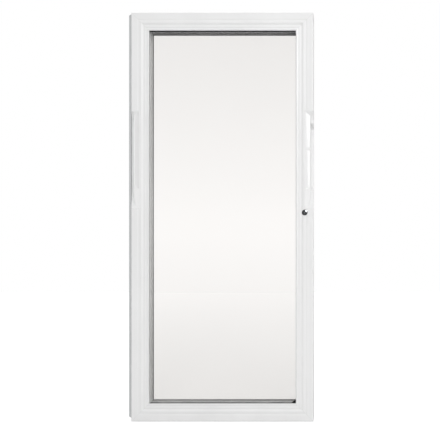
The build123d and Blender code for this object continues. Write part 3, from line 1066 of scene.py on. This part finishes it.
@dataclass(frozen=True)
class SoftBox:
    """A soft lamp with a large face, turned to a point, with its lengths in metres.

    It can give only light or only glints.
    """

    name: str
    place: Point
    target: Point
    size: Span
    watts: float
    glints: bool = True
    lights: bool = True

    def hang(self) -> None:
        """Adds the lamp to the scene."""
        lamp = bpy.data.lights.new(self.name, "AREA")
        lamp.shape = "RECTANGLE"
        lamp.size, lamp.size_y = self.size
        lamp.energy = self.watts
        holder = bpy.data.objects.new(self.name, lamp)
        bpy.context.scene.collection.objects.link(holder)
        holder.location = self.place
        # The lamp gives light, but isn't seen itself, not even through the glass
        holder.visible_camera = False
        holder.visible_transmission = False
        holder.visible_glossy = self.glints
        holder.visible_diffuse = self.lights
        ray = Vector(self.target) - Vector(self.place)
        holder.rotation_euler = ray.to_track_quat("-Z", "Y").to_euler()


@dataclass
class Studio:
    """The camera, the pale floor, the lamps and the white surroundings. Lengths are in metres."""

    eye: Point = (0.625, -1.873, 0.625)
    view_width: float = 1.454
    view_distance: float = 1.85
    # The film alone is in millimetres, as Blender counts it
    film_width: float = 36.0
    shift: Span = (-0.2531, 0.0298)
    farthest: float = 50.0
    floor_middle: Point = (0.265, 0.0, 0.0)
    floor_reach: float = 4.0
    floor_paint: str = "#E6E6E6"
    floor_shade: str = "#7A7A7A"
    # The floor's own glow behind the door, and how much more of it the camera sees directly
    sweep_depth: Span = (0.4, 3.4)
    sweep_glow: Span = (0.775, 0.845)
    direct_glow: float = 0.12
    room_light: float = 0.47
    # What the glass and the polished parts mirror: a bright band at the height of the eye
    mirror_level: float = 0.95
    mirror_low: float = 0.06
    mirror_foot: Span = (-0.31, -0.01)
    mirror_head: Span = (0.03, 0.37)
    mirror_sides: Span = (0.34, 0.5)
    lamps: tuple[SoftBox, ...] = (
        SoftBox("key_lamp", (1.9, -7.4, 8.6), LEAF_MIDDLE, (4.2, 4.2), 490.0, glints=False),
        SoftBox("side_lamp", (2.4, 1.3, 1.1), (0.5, 0.0, 0.72), (1.0, 1.6), 14.0, glints=False),
        SoftBox("pull_lamp", (1.75, -2.9, 1.05), (0.5, 0.0, 0.85), (0.9, 1.4), 10.5),
        SoftBox("catch_lamp", (2.3, -2.7, 2.0), LOCK_FACE, (1.2, 1.2), 6.5),
        SoftBox("spark_lamp", (1.75, -2.35, 2.16), LOCK_FACE, (1.1, 1.1), 32.0, lights=False),
        SoftBox("back_lamp", (-2.4, 5.6, 4.6), LEAF_MIDDLE, (3.0, 3.0), 100.0),
    )

    def build(self) -> None:
        """Sets the stage."""
        self.place_camera()
        self.lay_floor()
        self.fill_world()
        for lamp in self.lamps:
            lamp.hang()
        bpy.context.scene.view_settings.view_transform = "Standard"

    def place_camera(self) -> None:
        """Places the camera square to the door, low and to the right of its middle."""
        camera = bpy.data.cameras.new("photo_camera")
        camera.sensor_width = self.film_width
        camera.lens = self.film_width * self.view_distance / self.view_width
        camera.shift_x, camera.shift_y = self.shift
        camera.clip_end = self.farthest
        holder = bpy.data.objects.new("photo_camera", camera)
        bpy.context.scene.collection.objects.link(holder)
        holder.location = self.eye
        holder.rotation_euler = UPRIGHT
        bpy.context.scene.camera = holder

    def lay_floor(self) -> None:
        """Lays the pale floor, which keeps a faint shadow of the door."""
        bpy.ops.mesh.primitive_plane_add(size=2 * self.floor_reach, location=self.floor_middle)
        floor = bpy.context.object
        floor.name = "studio_floor"
        material = bpy.data.materials.new("pale_studio_floor")
        material.use_nodes = True
        tree = material.node_tree
        tree.nodes.clear()
        rays = add_node(tree, "LightPath").outputs
        # The sweep gets whiter towards the back, and is less bright through the glass
        where = add_node(tree, "TexCoord").outputs["Object"]
        back = add_node(tree, "SeparateXYZ", (where,)).outputs["Y"]
        sweep = add_node(tree, "MapRange", (back, *self.sweep_depth, *self.sweep_glow)).outputs[0]
        camera = rays["Is Camera Ray"]
        level = add_node(tree, "Math", (camera, self.direct_glow, sweep), operation="MULTIPLY_ADD")
        glow = add_node(tree, "Emission", {"Color": WHITE, "Strength": level.outputs[0]})
        shade = add_node(tree, "BsdfDiffuse", {"Color": linear(self.floor_shade)})
        white = add_node(tree, "AddShader", (shade.outputs[0], glow.outputs[0]))
        paint = add_node(tree, "BsdfDiffuse", {"Color": linear(self.floor_paint)})
        direct = add_node(tree, "Math", (camera, rays["Is Transmission Ray"]), operation="MAXIMUM")
        parts = (direct.outputs[0], paint.outputs[0], white.outputs[0])
        surface = add_node(tree, "MixShader", parts)
        # Rays that a pane has mirrored pass the floor and meet the world's band
        depth = rays["Glossy Depth"]
        mirrored = add_node(tree, "Math", (depth, MIRRORED), operation="GREATER_THAN")
        gone = add_node(tree, "BsdfTransparent")
        parts = (mirrored.outputs[0], surface.outputs[0], gone.outputs[0])
        shown = add_node(tree, "MixShader", parts)
        add_node(tree, "OutputMaterial", {"Surface": shown.outputs[0]})
        floor.data.materials.append(material)
        floor.visible_glossy = False

    def fill_world(self) -> None:
        """Surrounds the door with white, an even room light and the band that gloss mirrors."""
        world = bpy.data.worlds.new("white_studio")
        bpy.context.scene.world = world
        world.use_nodes = True
        tree = world.node_tree
        tree.nodes.clear()
        rays = add_node(tree, "LightPath").outputs
        ray = add_node(tree, "TexCoord").outputs["Generated"]
        split = add_node(tree, "SeparateXYZ", (ray,))
        rise = split.outputs["Z"]
        aside = add_node(tree, "Math", (split.outputs["X"],), operation="ABSOLUTE").outputs[0]
        dim, bright = self.mirror_low, self.mirror_level
        edges = (
            (rise, *self.mirror_foot, dim, bright),
            (rise, *self.mirror_head, bright, dim),
            (aside, *self.mirror_sides, bright, dim),
        )
        foot, head, sides = (add_node(tree, "MapRange", edge).outputs[0] for edge in edges)
        level_band = add_node(tree, "Math", (foot, head), operation="MINIMUM").outputs[0]
        band = add_node(tree, "Math", (level_band, sides), operation="MINIMUM").outputs[0]
        depth = rays["Glossy Depth"]
        mirrored = add_node(tree, "Math", (depth, MIRRORED), operation="GREATER_THAN").outputs[0]
        gloss = (mirrored, rays["Is Glossy Ray"])
        glossy = add_node(tree, "Math", gloss, operation="MAXIMUM").outputs[0]
        lit = {MIX_SHARE: glossy, MIX_LOW_LEVEL: self.room_light, MIX_HIGH_LEVEL: band}
        room = add_node(tree, "Mix", lit).outputs[0]
        # Rays that came through a pane see the white, unless a pane has mirrored them
        passed = (rays["Is Transmission Ray"], mirrored)
        through = add_node(tree, "Math", passed, operation="SUBTRACT", use_clamp=True).outputs[0]
        direct = (rays["Is Camera Ray"], through)
        seen = add_node(tree, "Math", direct, operation="MAXIMUM").outputs[0]
        shown = {MIX_SHARE: seen, MIX_LOW_LEVEL: room, MIX_HIGH_LEVEL: 1.0}
        level = add_node(tree, "Mix", shown).outputs[0]
        light = add_node(tree, "Background", {"Color": WHITE, "Strength": level})
        add_node(tree, "OutputWorld", {"Surface": light.outputs[0]})


def main() -> None:
    """Builds the studio and each part of the door in order."""
    logging.basicConfig(level=logging.INFO, format="%(message)s")
    deselect_all()
    assemblies: Sequence = (
        Studio(),
        WhiteFrame(),
        FingerPulls(),
        GlazedUnit(),
        RearSeal(),
        CamLock(),
        PivotPlates(),
        EdgeStrip(),
    )
    for assembly in assemblies:
        assembly.build()
        log.info("built %s", type(assembly).__name__)


if __name__ == "__main__":
    main()
